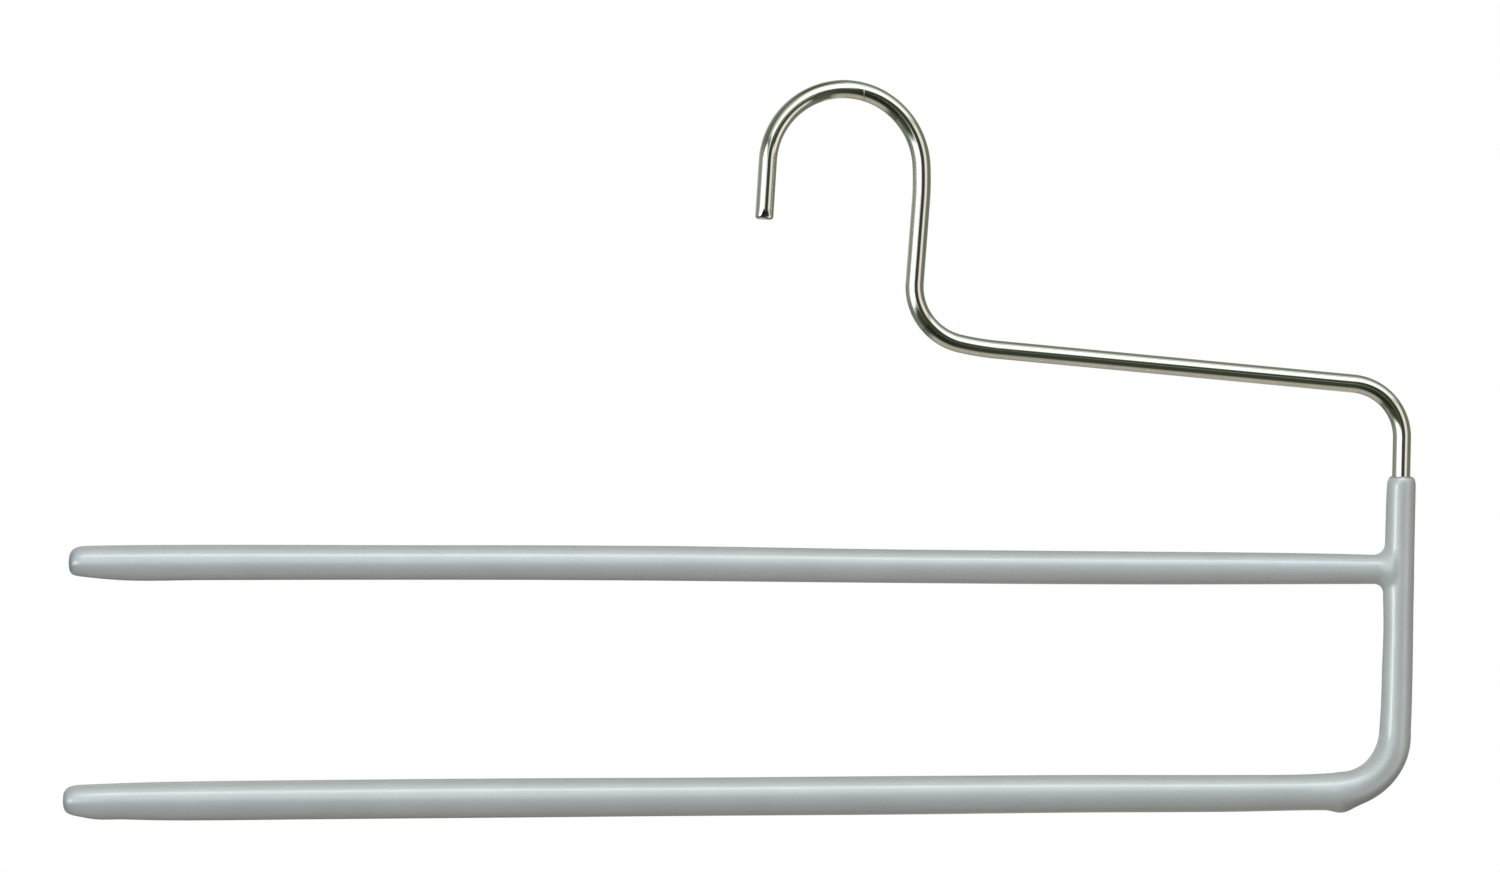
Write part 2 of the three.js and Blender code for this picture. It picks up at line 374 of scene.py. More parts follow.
@dataclass(frozen=True)
class PearlSkin:
    """Soft dipped vinyl, silver grey with a fine pearl speckle and a satin face.

    Painted shade darkens the noses towards their tips, by the nose fall for each millimetre. Above the lip
    edge a painted contact shadow makes the lip dark.
    """

    name: str = "silver_dipped_skin"
    colour: Colour = (0.478, 0.522, 0.558)
    pale_colour: Colour = (0.518, 0.562, 0.597)
    deep_colour: Colour = (0.445, 0.487, 0.521)
    # Painted shade on the noses, darker towards their tips.
    nose_shade_colour: Colour = (0.2, 0.25, 0.31)
    nose_shade_place: tuple[float, float] = (-200, -120)
    nose_shade_lean: float = 0.0325
    nose_shade_fall: float = 0.9
    # Painted contact shadow where the wire enters the lip.
    lip_shadow_colour: Colour = (0.12, 0.135, 0.145)
    lip_shadow_edge: float = -98.15
    lip_shadow_fade: float = 0.7
    metal_share: float = 0.12
    speckle_metal: float = 0.12
    roughness: float = 0.42
    roughness_spread: float = 0.06
    coat: float = 1.0
    coat_roughness: float = 0.06
    coat_ior: float = 1.6
    speckle_scale: float = 2400
    speckle_share: float = 0.7
    speckle_in_roughness: float = 0.5
    speckle_in_grain: float = 0.25
    mottle_scale: float = 420
    mottle_share: float = 0.35
    cloud_scale: float = 55
    grain_depth: float = 0.007
    grain_strength: float = 0.5

    def material(self) -> bpy.types.Material:
        """Builds the finish from noise of three sizes.

        Returns:
            The material.
        """
        painted = Painted(self.name)
        nodes = painted.nodes
        place = painted.place()
        speckle = nodes.noise(place, self.speckle_scale, detail=1)
        mottle = nodes.noise(place, self.mottle_scale, detail=3)
        cloud = nodes.noise(place, self.cloud_scale, detail=2)
        flecks = speckle.rise(edge=0.58, width=0.22) * self.speckle_share
        patches = mottle.rise(edge=0.5, width=0.5) * self.mottle_share
        body = nodes.mix(cloud.rise(edge=0.5, width=0.5), self.deep_colour, self.colour)
        flecked = nodes.mix(flecks, body, self.pale_colour)
        tint = nodes.mix(patches, flecked, self.deep_colour)
        x, _, z = nodes.split(place)
        # Painted shade: the noses darken towards their tips.
        nose_x, nose_z = (one * MM for one in self.nose_shade_place)
        past_nose = nose_x - x + (z - nose_z) * self.nose_shade_lean
        nose_shade = past_nose.maths("EXPONENT", past_nose * (self.nose_shade_fall / MM))
        # Painted contact shadow: the lip goes dark above its edge.
        ends = nodes.mix(z.rise(self.lip_shadow_edge * MM, self.lip_shadow_fade * MM), tint, self.lip_shadow_colour)
        low, high = self.roughness - self.roughness_spread, self.roughness + self.roughness_spread
        grain = mottle.blend(speckle, self.speckle_in_grain)
        return painted.finish({
            "Base Color": nodes.mix(nose_shade, ends, self.nose_shade_colour),
            "Metallic": speckle.rise(edge=0.5, width=0.4) * self.speckle_metal + self.metal_share,
            "Roughness": mottle.blend(speckle, self.speckle_in_roughness).spread(low, high),
            "Coat Weight": self.coat,
            "Coat Roughness": self.coat_roughness,
            "Coat IOR": self.coat_ior,
            "Normal": nodes.bump(grain, self.grain_depth, self.grain_strength),
        })


@dataclass(frozen=True)
class DrawnSteel:
    """Bright drawn rod, with lines along its run and a thin oil stain."""

    name: str = "bright_drawn_rod"
    colour: Colour = (0.56, 0.57, 0.57)
    smoothest: float = 0.24
    roughest: float = 0.44
    line_stretch: Point = (30, 3000, 3000)
    line_depth: float = 0.01
    line_strength: float = 0.5
    stain_colour: Colour = (0.4, 0.37, 0.32)
    stain_scale: float = 90
    stain_share: float = 0.5
    stain_in_roughness: float = 0.4

    def material(self) -> bpy.types.Material:
        """Builds the finish along X, the way the rod runs.

        Returns:
            The material.
        """
        painted = Painted(self.name)
        nodes = painted.nodes
        place = painted.place()
        lines = nodes.noise(nodes.stretch(place, self.line_stretch), scale=1, detail=3)
        stain = nodes.noise(place, self.stain_scale, detail=4).rise(edge=0.58, width=0.2)
        polish = lines.blend(stain, self.stain_in_roughness)
        return painted.finish({
            "Base Color": nodes.mix(stain * self.stain_share, self.colour, self.stain_colour),
            "Metallic": 1.0,
            "Roughness": polish.spread(self.smoothest, self.roughest),
            "Normal": nodes.bump(lines, self.line_depth, self.line_strength),
        })


@dataclass(frozen=True)
class WeldMetal:
    """Dull fused steel, rippled and tinted by heat."""

    name: str = "fused_weld_metal"
    colour: Colour = (0.33, 0.32, 0.31)
    heat_stops: tuple[tuple[float, Colour], ...] = (
        (0.3, (0.2, 0.17, 0.3)),
        (0.5, (0.42, 0.3, 0.16)),
        (0.7, (0.4, 0.4, 0.4)),
    )
    heat_scale: float = 400
    heat_share: float = 0.4
    smoothest: float = 0.4
    roughest: float = 0.65
    ripple_stretch: Point = (2400, 500, 500)
    ripple_depth: float = 0.06
    ripple_strength: float = 0.7

    def material(self) -> bpy.types.Material:
        """Builds the finish from ripples and clouds of heat tint.

        Returns:
            The material.
        """
        painted = Painted(self.name)
        nodes = painted.nodes
        place = painted.place()
        ripple = nodes.noise(nodes.stretch(place, self.ripple_stretch), scale=1, detail=2)
        cloud = nodes.noise(place, self.heat_scale, detail=3)
        heat = nodes.add("ShaderNodeValToRGB", {"stops": self.heat_stops}, {"Fac": cloud}, "Color")
        return painted.finish({
            "Base Color": nodes.mix(self.heat_share, self.colour, heat),
            "Metallic": 1.0,
            "Roughness": cloud.spread(self.smoothest, self.roughest),
            "Normal": nodes.bump(ripple, self.ripple_depth, self.ripple_strength),
        })


@dataclass(frozen=True)
class Move:
    """One move of a route: straight on, or round a bend. A turn is positive to the left, in degrees."""

    length: float = 0
    radius: float = 0
    turn: float = 0

    @property
    def size(self) -> float:
        """The distance gone along the move."""
        return self.radius * abs(math.radians(self.turn)) if self.radius else self.length


@dataclass(frozen=True)
class Place:
    """Places along a route: their centres (x, z) and the unit vectors forward and to the left."""

    centre: np.ndarray
    forward: np.ndarray
    left: np.ndarray


class Route:
    """A flat route in the XZ plane. Beyond its ends it carries on straight.

    Its froms are the distances where its moves start, and last of all its whole length.
    """

    def __init__(self, start: tuple[float, float], heading: float, moves: Sequence[Move]) -> None:
        """Lays the moves one after the other.

        Args:
            start: where the route begins, (x, z).
            heading: its first direction in degrees.
            moves: its moves in order.
        """
        self.moves = tuple(moves)
        self.starts = [np.array(start, float)]
        self.headings = [math.radians(heading)]
        self.froms = [0.0]
        for number, move in enumerate(moves):
            end = self.run(number, np.array([move.size]))
            self.starts.append(end[0][0])
            self.headings.append(float(end[1][0]))
            self.froms.append(self.froms[-1] + move.size)

    @property
    def length(self) -> float:
        """The whole length."""
        return self.froms[-1]

    def run(self, number: int, gone: np.ndarray) -> tuple[np.ndarray, np.ndarray]:
        """Runs along one move.

        Args:
            number: the move's place in the route.
            gone: distances from the move's start.

        Returns:
            The centres and the headings in radians.
        """
        move, start, heading = self.moves[number], self.starts[number], self.headings[number]
        if not move.radius:
            ahead = np.array([math.cos(heading), math.sin(heading)])
            return start + gone[:, None] * ahead, np.full(len(gone), heading)
        side = math.copysign(1, move.turn)
        hub = start + side * move.radius * np.array([-math.sin(heading), math.cos(heading)])
        headings = heading + side * gone / move.radius
        out = np.stack([np.sin(headings), -np.cos(headings)], axis=1)
        return hub + side * move.radius * out, headings

    def at(self, along: Sequence[float] | np.ndarray) -> Place:
        """Finds places.

        Args:
            along: distances along the route.

        Returns:
            The places there.
        """
        along = np.asarray(along, float)
        numbers = np.clip(np.searchsorted(self.froms, along, side="right") - 1, 0, len(self.moves) - 1)
        centres = np.zeros((len(along), 2))
        headings = np.zeros(len(along))
        for number in set(numbers.tolist()):
            here = numbers == number
            centres[here], headings[here] = self.run(number, along[here] - self.froms[number])
        forward = np.stack([np.cos(headings), np.sin(headings)], axis=1)
        return Place(centres, forward, np.stack([-forward[:, 1], forward[:, 0]], axis=1))

    def stops(self, start: float, end: float, straight_step: float, turn_step: float) -> list[float]:
        """Distances for a tube's rings.

        Args:
            start: where the tube begins.
            end: where it ends.
            straight_step: the widest step on straight moves.
            turn_step: the widest step on bends, in degrees.

        Returns:
            The distances in order.
        """
        found = [start, end]
        spans = list(zip(self.moves, self.froms))
        if end > self.length:
            spans.append((Move(length=end - self.length), self.length))
        for move, origin in spans:
            step = math.radians(turn_step) * move.radius if move.radius else straight_step
            count = max(1, math.ceil(move.size / step))
            found += [origin + move.size * one / count for one in range(count + 1)]
        return sorted(one for one in found if start <= one <= end)


@dataclass(frozen=True)
class HangerSizes:
    """The sizes that the pieces share."""

    wire_radius: float = 2.35
    rod_radius: float = 2.35
    tip_leg_length: float = 15.4
    tip_lean: float = 3.65
    crook_tip_radius: float = 19.6
    crook_neck_radius: float = 21
    crook_change_turn: float = 34.8
    neck_ease_radius: float = 76
    neck_ease_turn: float = 7
    neck_length: float = 20.95
    neck_lean: float = 4.4
    shoulder_radius: float = 15.1
    shoulder_ease_radius: float = 73
    shoulder_ease_turn: float = 7.8
    arm_length: float = 92.5
    arm_fall: float = 5.43
    outer_bend_radius: float = 13.9
    upright_length: float = 75.6
    upright_lean: float = 1.22
    lower_bend_radius: float = 16.4
    lower_bar_length: float = 326.6
    lower_bar_droop: float = 0.38
    upper_bar_drop: float = 34.1
    upper_bar_rise: float = 0.5
    upper_bar_rising_length: float = 190
    upper_bar_ease_radius: float = 4000
    upper_bar_level_length: float = 117

    def wire(self) -> Route:
        """Lays the wire's route, from the hook's tip to the end of the lower bar.

        Returns:
            The route.
        """
        heading = 90 - self.tip_lean
        ahead = np.array([math.cos(math.radians(heading)), math.sin(math.radians(heading))])
        hub = np.array([0, self.wire_radius - self.crook_tip_radius])
        crook_start = hub + self.crook_tip_radius * np.array([-ahead[1], ahead[0]])
        tip = crook_start - self.tip_leg_length * ahead
        neck_turn = 90 + self.neck_lean
        crook_end_turn = neck_turn - self.crook_change_turn - self.neck_ease_turn
        return Route((tip[0], tip[1]), heading, [
            Move(length=self.tip_leg_length),
            Move(radius=self.crook_tip_radius, turn=-(heading + self.crook_change_turn)),
            Move(radius=self.crook_neck_radius, turn=-crook_end_turn),
            Move(radius=self.neck_ease_radius, turn=-self.neck_ease_turn),
            Move(length=self.neck_length),
            Move(radius=self.shoulder_radius, turn=neck_turn - self.arm_fall - self.shoulder_ease_turn),
            Move(radius=self.shoulder_ease_radius, turn=self.shoulder_ease_turn),
            Move(length=self.arm_length),
            Move(radius=self.outer_bend_radius, turn=-(90 + self.upright_lean - self.arm_fall)),
            Move(length=self.upright_length),
            Move(radius=self.lower_bend_radius, turn=-(90 - self.upright_lean - self.lower_bar_droop)),
            Move(length=self.lower_bar_length),
        ])

    def upper_bar(self) -> Route:
        """Lays the upper bar's route, from the upright's axis to the rod's end.

        Returns:
            The route.
        """
        wire = self.wire()
        start = wire.at([wire.froms[UPRIGHT_FROM] + self.upper_bar_drop]).centre[0]
        return Route((start[0], start[1]), 180 - self.upper_bar_rise, [
            Move(length=self.upper_bar_rising_length),
            Move(radius=self.upper_bar_ease_radius, turn=self.upper_bar_rise),
            Move(length=self.upper_bar_level_length),
        ])


def rounding_share(from_end: np.ndarray, rounding: float) -> np.ndarray:
    """How far a rounded edge has come out, from 0 at the end to 1 where the rounding stops."""
    left = np.clip(1 - from_end / rounding, 0, 1)
    return np.sqrt(1 - left**2)


def rounding_stops(rounding: float, count: int) -> list[float]:
    """Distances from an end that show its rounded edge."""
    return [rounding * (1 - math.cos(math.pi / 2 * step / count)) for step in range(count + 1)]


def thin_out(stops: Sequence[float], least: float) -> list[float]:
    """Sorts distances and drops those that nearly repeat.

    Args:
        stops: the distances.
        least: how far apart two kept ones are at least.

    Returns:
        The distances that are kept, in order.
    """
    found = []
    for stop in sorted(stops):
        if not found or stop - found[-1] > least:
            found.append(stop)
    return found


def read_shares(rows: ShareTable, share: np.ndarray) -> np.ndarray:
    """Reads a share table along a smooth curve through its rows.

    Args:
        rows: the place of each row, then its values.
        share: the places to read.

    Returns:
        The values there, a column for each value of a row.
    """
    table = np.array(rows, float)
    places, values = table[:, 0], table[:, 1:]
    slopes = np.diff(values, axis=0) / np.diff(places)[:, None]
    tangents = np.vstack([slopes[:1], (slopes[1:] + slopes[:-1]) / 2, slopes[-1:]])
    share = np.clip(share, 0, 1)
    low = np.clip(np.searchsorted(places, share, side="right") - 1, 0, len(places) - 2)
    width = (places[low + 1] - places[low])[:, None]
    part = (share - places[low])[:, None] / width
    risen = 3 * part**2 - 2 * part**3
    level = (1 - risen) * values[low] + risen * values[low + 1]
    lead, tail = part**3 - 2 * part**2 + part, part**3 - part**2
    return level + width * (lead * tangents[low] + tail * tangents[low + 1])


def place_object(name: str, data: bpy.types.ID) -> bpy.types.Object:
    """Makes an object and links it to the scene.

    Args:
        name: the object's name.
        data: its mesh, camera or lamp.

    Returns:
        The object.
    """
    made = bpy.data.objects.new(name, data)
    bpy.context.scene.collection.objects.link(made)
    return made


def new_piece(
    name: str, points: np.ndarray, faces: Sequence[Sequence[int]], edges: Sequence[tuple[int, int]] = ()
) -> bpy.types.Object:
    """Makes a mesh object at the origin.

    Args:
        name: the object's name.
        points: its vertices in millimetres.
        faces: the vertices of each face.
        edges: loose edges, for a mesh without faces.

    Returns:
        The object, linked to the scene.
    """
    mesh = bpy.data.meshes.new(name)
    mesh.from_pydata((np.asarray(points) * MM).tolist(), list(edges), list(faces))
    mesh.update()
    return place_object(name, mesh)


@contextmanager
def edited(mesh: bpy.types.Mesh) -> Iterator[bmesh.types.BMesh]:
    """Opens a mesh for editing, then writes the result back.

    Args:
        mesh: the mesh.

    Yields:
        The mesh as it is edited.
    """
    work = bmesh.new()
    work.from_mesh(mesh)
    yield work
    work.to_mesh(mesh)
    work.free()


def bake_modifiers(piece: bpy.types.Object) -> None:
    """Turns a piece with modifiers into a plain mesh.

    Args:
        piece: the piece, which keeps its name and place.
    """
    graph = bpy.context.evaluated_depsgraph_get()
    source = piece.evaluated_get(graph)
    made = bpy.data.meshes.new_from_object(source, preserve_all_data_layers=True, depsgraph=graph)
    piece.modifiers.clear()
    old = piece.data
    piece.data = made
    made.name = piece.name
    bpy.data.meshes.remove(old)


def face_outward(piece: bpy.types.Object) -> None:
    """Merges doubles and turns every face outward.

    Args:
        piece: a closed piece.
    """
    with edited(piece.data) as work:
        bmesh.ops.remove_doubles(work, verts=work.verts, dist=DOUBLES_APART * MM)
        bmesh.ops.recalc_face_normals(work, faces=work.faces)
        if work.calc_volume(signed=True) < 0:
            bmesh.ops.reverse_faces(work, faces=work.faces)


def ring_numbers(rings: np.ndarray, first: int) -> list[list[int]]:
    """The numbers of the points of rings, a list for each ring, counted from first."""
    return (first + np.arange(rings[..., 0].size)).reshape(len(rings), -1).tolist()


def tube_walls(numbers: Sequence[Sequence[int]]) -> list[list[tuple[int, ...]]]:
    """Joins closed rings, each to the next.

    Args:
        numbers: the numbers of the points of each ring.

    Returns:
        The faces between two rings, a list for each pair.
    """
    beside = [*range(1, len(numbers[0])), 0]
    return [
        [(near[one], far[one], far[two], near[two]) for one, two in enumerate(beside)]
        for near, far in zip(numbers, numbers[1:])
    ]


def ring_points(
    place: Place, sides: int, reach: Reach, drip: np.ndarray | None = None, first: float = 0
) -> np.ndarray:
    """Places the rings of a tube.

    Args:
        place: where the rings stand.
        sides: how many points a ring has.
        reach: how far each ring reaches left and right; both sides get their mean.
        drip: how much further it reaches at the very left.
        first: the angle of the first point from the left, in radians.

    Returns:
        The points, as rows of rings.
    """
    angle = first + 2 * np.pi * np.arange(sides) / sides
    lean, across = np.cos(angle), np.sin(angle)
    left, right = (np.asarray(one)[:, None] for one in reach)
    hang = 0 if drip is None else drip[:, None] * np.clip(lean, 0, 1) ** DRIP_SHARPNESS
    out = lean * (np.where(lean > 0, left, right) + hang)
    flat = place.centre[:, None, :] + out[:, :, None] * place.left[:, None, :]
    wide = across * (left + right) / 2
    return np.stack([flat[:, :, 0], wide, flat[:, :, 1]], axis=2)


def dress(piece: bpy.types.Object, material: bpy.types.Material) -> None:
    """Gives a piece one material."""
    piece.data.materials.clear()
    piece.data.materials.append(material)


def report(piece: bpy.types.Object, what: str) -> None:
    """Reports a finished piece."""
    log.info("%s: %s, %d faces", piece.name, what, len(piece.data.polygons))


@dataclass
class HookWire:
    """The chromed wire: hook, neck, arm, upright and the core of the lower bar, bent from one length."""

    sizes: HangerSizes
    tip_rounding: float = 0.9
    cut_rounding: float = 0.5
    sides: int = 48
    bare_step: float = 3
    bare_bend_step: float = 1.5
    hidden_step: float = 6
    hidden_bend_step: float = 4.5
    least_step: float = 1e-3
    rounding_count: int = 8
    tip_rim: float = 0.55
    tip_rim_shares: tuple[float, float] = (0.4, 1.0)
    tip_hollow: float = 0.16
    press_length: float = 2.9
    press_depth: float = 0.45
    press_sharpness: float = 4
    finish: ChromePlate = field(default_factory=ChromePlate)

    def tree(self, material: bpy.types.Material) -> bpy.types.NodeTree:
        """Builds the tree that sweeps a round section along the route and softens both ends.

        Args:
            material: the finish that the tree sets.

        Returns:
            The geometry tree.
        """
        tree = bpy.data.node_groups.new("drawn_wire_sweep", "GeometryNodeTree")
        nodes = Nodes(tree)
        tree.interface.new_socket("Geometry", in_out="INPUT", socket_type="NodeSocketGeometry")
        for name in ("Wire Radius", "Tip Rounding", "Cut Rounding"):
            tree.interface.new_socket(name, in_out="INPUT", socket_type="NodeSocketFloat")
        tree.interface.new_socket("Sides", in_out="INPUT", socket_type="NodeSocketInt")
        tree.interface.new_socket("Geometry", in_out="OUTPUT", socket_type="NodeSocketGeometry")
        route = nodes.add("NodeGroupInput", {}, {}, "Geometry")
        radius = route.output("Wire Radius")
        curve = nodes.add("GeometryNodeMeshToCurve", {}, {"Mesh": route})
        run = nodes.add("GeometryNodeSplineParameter", {}, {}, "Length")
        left = nodes.add("GeometryNodeSplineLength", {}, {}, "Length") - run
        cuts = []
        for gone, rounding in ((run, route.output("Tip Rounding")), (left, route.output("Cut Rounding"))):
            short = run.maths("MAXIMUM", 1 - gone / rounding, 0.0)
            cuts.append(rounding * (1 - run.maths("SQRT", 1 - short * short)))
        scale = 1 - run.maths("MAXIMUM", *cuts) / radius
        marked = self.store(nodes, curve, "run", "FLOAT", run)
        sockets = {"Resolution": route.output("Sides"), "Radius": radius}
        circle = nodes.add("GeometryNodeCurvePrimitiveCircle", {}, sockets)
        place = nodes.add("GeometryNodeInputPosition", {}, {})
        section = self.store(nodes, circle, "section", "FLOAT_VECTOR", place)
        sockets = {"Curve": marked, "Profile Curve": section, "Scale": scale, "Fill Caps": True}
        swept = nodes.add("GeometryNodeCurveToMesh", {}, sockets)
        whole = nodes.add("GeometryNodeRealizeInstances", {}, {"Geometry": swept})
        dressed = nodes.add("GeometryNodeSetMaterial", {}, {"Geometry": whole, "Material": material})
        nodes.add("NodeGroupOutput", {}, {"Geometry": dressed})
        return tree

    @staticmethod
    def store(nodes: Nodes, curve: Shade, name: str, kind: str, value: Shade) -> Shade:
        """Keeps a value on a curve's points, so that the swept mesh carries it.

        Args:
            nodes: the tree.
            curve: the curve.
            name: the value's name on the mesh.
            kind: its data type.
            value: the value.

        Returns:
            The curve with the value.
        """
        settings = {"data_type": kind, "domain": "POINT"}
        sockets = {"Geometry": curve, "Name": name, "Value": value}
        return nodes.add("GeometryNodeStoreNamedAttribute", settings, sockets)

    def stops(self, route: Route) -> list[float]:
        """Spaces the route's points, close on bends and at both ends.

        Args:
            route: the wire's route.

        Returns:
            Their distances along it.
        """
        bare_end = route.froms[UPRIGHT_FROM] + self.sizes.upper_bar_drop / 2
        found = route.stops(0, bare_end, self.bare_step, self.bare_bend_step)
        found += route.stops(bare_end, route.length, self.hidden_step, self.hidden_bend_step)
        found += rounding_stops(self.tip_rounding, self.rounding_count)
        found += [self.press_length * step / self.rounding_count for step in range(self.rounding_count + 2)]
        found += [route.length - one for one in rounding_stops(self.cut_rounding, self.rounding_count)]
        return thin_out(found, self.least_step)

    def hollow_tip(self, piece: bpy.types.Object, tip: np.ndarray, ahead: np.ndarray) -> None:
        """Sinks the middle of the cut face at the hook's tip, as a cropped wire end has it.

        Args:
            piece: the wire.
            tip: the middle of the cut face, in metres.
            ahead: the way from the face into the wire.
        """
        with edited(piece.data) as work:
            face = min(work.faces, key=lambda one: (one.calc_center_median() - Vector(tip)).length)
            for share in self.tip_rim_shares:
                bmesh.ops.inset_region(work, faces=[face], thickness=self.tip_rim * MM * share)
                for corner in face.verts:
                    corner.co += Vector(ahead * self.tip_hollow * MM * share)
            bmesh.ops.poke(work, faces=[face])

    def press_tip(self, piece: bpy.types.Object, tip: np.ndarray, ahead: np.ndarray) -> None:
        """Presses the front of the hook's tip back a little, as the cropping blade leaves it.

        Args:
            piece: the wire.
            tip: the middle of the cut face, in metres.
            ahead: the way from the face into the wire.
        """
        for corner in piece.data.vertices:
            offset = np.array(corner.co) - tip
            along = float(offset @ ahead) / (self.press_length * MM)
            if along < 1 and np.linalg.norm(offset) < 2 * self.press_length * MM:
                facing = max(0.0, -corner.co.y / (self.sizes.wire_radius * MM))
                corner.co.y += self.press_depth * MM * (1 - along) ** 2 * facing**self.press_sharpness

    def build(self) -> bpy.types.Object:
        """Builds and dresses the wire.

        Returns:
            The piece.
        """
        route = self.sizes.wire()
        place = route.at(self.stops(route))
        count = len(place.centre)
        points = np.stack([place.centre[:, 0], np.zeros(count), place.centre[:, 1]], axis=1)
        piece = new_piece("bright_hook_wire", points, [], [(one, one + 1) for one in range(count - 1)])
        material = self.finish.material()
        modifier = piece.modifiers.new("drawn_wire_sweep", "NODES")
        modifier.node_group = self.tree(material)
        given = {
            "Wire Radius": self.sizes.wire_radius * MM,
            "Tip Rounding": self.tip_rounding * MM,
            "Cut Rounding": self.cut_rounding * MM,
            "Sides": self.sides,
        }
        for socket in modifier.node_group.interface.items_tree:
            if socket.in_out == "INPUT" and socket.name in given:
                modifier[socket.identifier] = given[socket.name]
        bake_modifiers(piece)
        face_outward(piece)
        ahead = np.array([place.forward[0, 0], 0, place.forward[0, 1]])
        self.hollow_tip(piece, points[0] * MM, ahead)
        self.press_tip(piece, points[0] * MM, ahead)
        piece.data.shade_smooth()
        dress(piece, material)
        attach(piece, BODY)
        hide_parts("hook_wire")
        report(piece, "one bent wire")
        return piece


@dataclass
class WeldedRod:
    """The upper bar's core: a straight rod welded to the upright. Both keep their solids."""

    rod_finish: DrawnSteel = field(default_factory=DrawnSteel)
    weld_finish: WeldMetal = field(default_factory=WeldMetal)

    def build(self) -> None:
        """Dresses the rod and its weld."""
        for node, finish in (("upper_bar_rod", self.rod_finish), ("upper_bar_weld", self.weld_finish)):
            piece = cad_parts[node]
            dress(piece, finish.material())
            report(piece, "under the skin")


@dataclass(frozen=True)
class Hole:
    """The stretch of a tube's rings and columns that is left open where another tube joins it."""

    top: int
    bottom: int
    low: int
    high: int

    def loop(self) -> list[tuple[int, int]]:
        """Goes round the hole, from the middle of its top over the front.

        Returns:
            The ring and column of each point.
        """
        middle = (self.low + self.high) // 2
        loop = [(self.top, column) for column in range(middle, self.high)]
        loop += [(row, self.high) for row in range(self.top, self.bottom)]
        loop += [(self.bottom, column) for column in range(self.high, self.low, -1)]
        loop += [(row, self.low) for row in range(self.bottom, self.top, -1)]
        loop += [(self.top, column) for column in range(self.low, middle)]
        return loop


